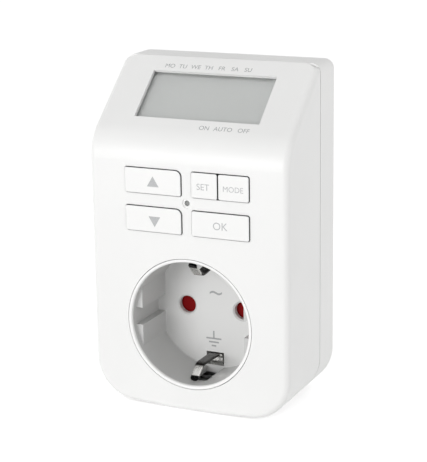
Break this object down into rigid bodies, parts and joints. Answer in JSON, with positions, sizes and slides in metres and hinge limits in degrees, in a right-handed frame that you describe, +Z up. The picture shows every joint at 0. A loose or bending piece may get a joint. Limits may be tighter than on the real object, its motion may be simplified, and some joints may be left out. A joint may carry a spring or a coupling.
{
  "type": "plug in timer switch",
  "caption": "Plug-in timer switch with an earthed recessed socket and buttons in front, a display on its slope, and a round plug base with pins behind.",
  "frame": {"origin": "on the surface the timer stands on, under the middle of its whole width and depth", "axes": "+Z up along the case's height, +Y from the socket's face to the plug's pins, +X to the right as seen from the front"},
  "size_m": [0.065, 0.075, 0.1055],
  "materials": {
    "case_abs": "white moulded ABS, fine satin",
    "key_abs": "white moulded ABS, satin",
    "reset_abs": "dark grey moulded ABS",
    "shutter_nylon": "dark red moulded nylon",
    "spring_wire": "drawn spring steel wire",
    "carrier_nylon": "off-white moulded nylon",
    "brass_strip": "pressed brass strip",
    "plated_strip": "pressed brass strip, nickel plated",
    "plated_pin": "turned brass, nickel plated",
    "clear_acrylic": "clear moulded acrylic",
    "display_glass": "blank liquid crystal glass, grey",
    "frame_abs": "white moulded ABS",
    "strip_rubber": "silicone contact strip",
    "board_laminate": "glass-epoxy laminate with green resist",
    "black_moulding": "black moulded resin",
    "can_steel": "bright nickel-plated steel",
    "relay_case": "blue moulded case",
    "film_case": "yellow moulded case",
    "capacitor_sleeve": "dark shrink sleeve",
    "varistor_coat": "blue dipped coat",
    "resistor_coat": "grey-green coat",
    "header_brass": "plated square pins",
    "ribbon_film": "white flat ribbon",
    "screw_steel": "zinc-plated steel"
  },
  "bodies": {
    "case": {"front_cover": "case_abs", "rear_housing": "case_abs", "plug_base": "case_abs", "socket_insert": "case_abs", "shutter_spring": "spring_wire", "contact_carrier": "carrier_nylon", "live_contact": "brass_strip", "neutral_contact": "brass_strip", "live_feed": "brass_strip", "earth_bracket": "plated_strip", "plug_earth_upper": "plated_strip", "plug_earth_lower": "plated_strip", "plug_pin_live": "plated_pin", "plug_pin_neutral": "plated_pin", "display_lens": "clear_acrylic", "display_cell": "display_glass", "display_frame": "frame_abs", "contact_strip": "strip_rubber", "display_board": "board_laminate", "key_board": "board_laminate", "power_board": "board_laminate", "controller_chip": "black_moulding", "switch_bodies": "black_moulding", "rectifier": "black_moulding", "header_blocks": "black_moulding", "clock_crystal": "can_steel", "backup_cell": "can_steel", "cell_tabs": "can_steel", "relay": "relay_case", "mains_capacitor": "film_case", "smoothing_capacitor": "capacitor_sleeve", "varistor": "varistor_coat", "fuse_resistor": "resistor_coat", "header_pins": "header_brass", "display_ribbon": "ribbon_film", "case_screws": "screw_steel", "key_board_screws": "screw_steel", "power_board_screws": "screw_steel", "carrier_screws": "screw_steel", "display_screws": "screw_steel"},
    "up_button": {"up_button": "key_abs", "up_switch_stem": "black_moulding"},
    "down_button": {"down_button": "key_abs", "down_switch_stem": "black_moulding"},
    "set_button": {"set_button": "key_abs", "set_switch_stem": "black_moulding"},
    "mode_button": {"mode_button": "key_abs", "mode_switch_stem": "black_moulding"},
    "ok_button": {"ok_button": "key_abs", "ok_switch_stem": "black_moulding"},
    "reset_button": {"reset_button": "reset_abs", "reset_switch_stem": "black_moulding"},
    "shutter": {"shutter_rotor": "shutter_nylon"}
  },
  "joints": [
    {"name": "up_press", "type": "slide", "parent": "case", "child": "up_button", "axis": [0, 1, 0], "range_m": [0, 0.0005], "stiffness_N_per_m": 800, "springref_m": -0.0005},
    {"name": "down_press", "type": "slide", "parent": "case", "child": "down_button", "axis": [0, 1, 0], "range_m": [0, 0.0005], "stiffness_N_per_m": 800, "springref_m": -0.0005},
    {"name": "set_press", "type": "slide", "parent": "case", "child": "set_button", "axis": [0, 1, 0], "range_m": [0, 0.0005], "stiffness_N_per_m": 800, "springref_m": -0.0005},
    {"name": "mode_press", "type": "slide", "parent": "case", "child": "mode_button", "axis": [0, 1, 0], "range_m": [0, 0.0005], "stiffness_N_per_m": 800, "springref_m": -0.0005},
    {"name": "ok_press", "type": "slide", "parent": "case", "child": "ok_button", "axis": [0, 1, 0], "range_m": [0, 0.0005], "stiffness_N_per_m": 800, "springref_m": -0.0005},
    {"name": "reset_press", "type": "slide", "parent": "case", "child": "reset_button", "axis": [0, 1, 0], "range_m": [0, 0.0004], "stiffness_N_per_m": 800, "springref_m": -0.0005},
    {"name": "shutter_turn", "type": "hinge", "parent": "case", "child": "shutter", "pos_m": [0, -0.0153, 0.028], "axis": [0, 1, 0], "range_deg": [0, 50], "stiffness_Nm_per_rad": 0.002, "springref_deg": -11.46}
  ]
}
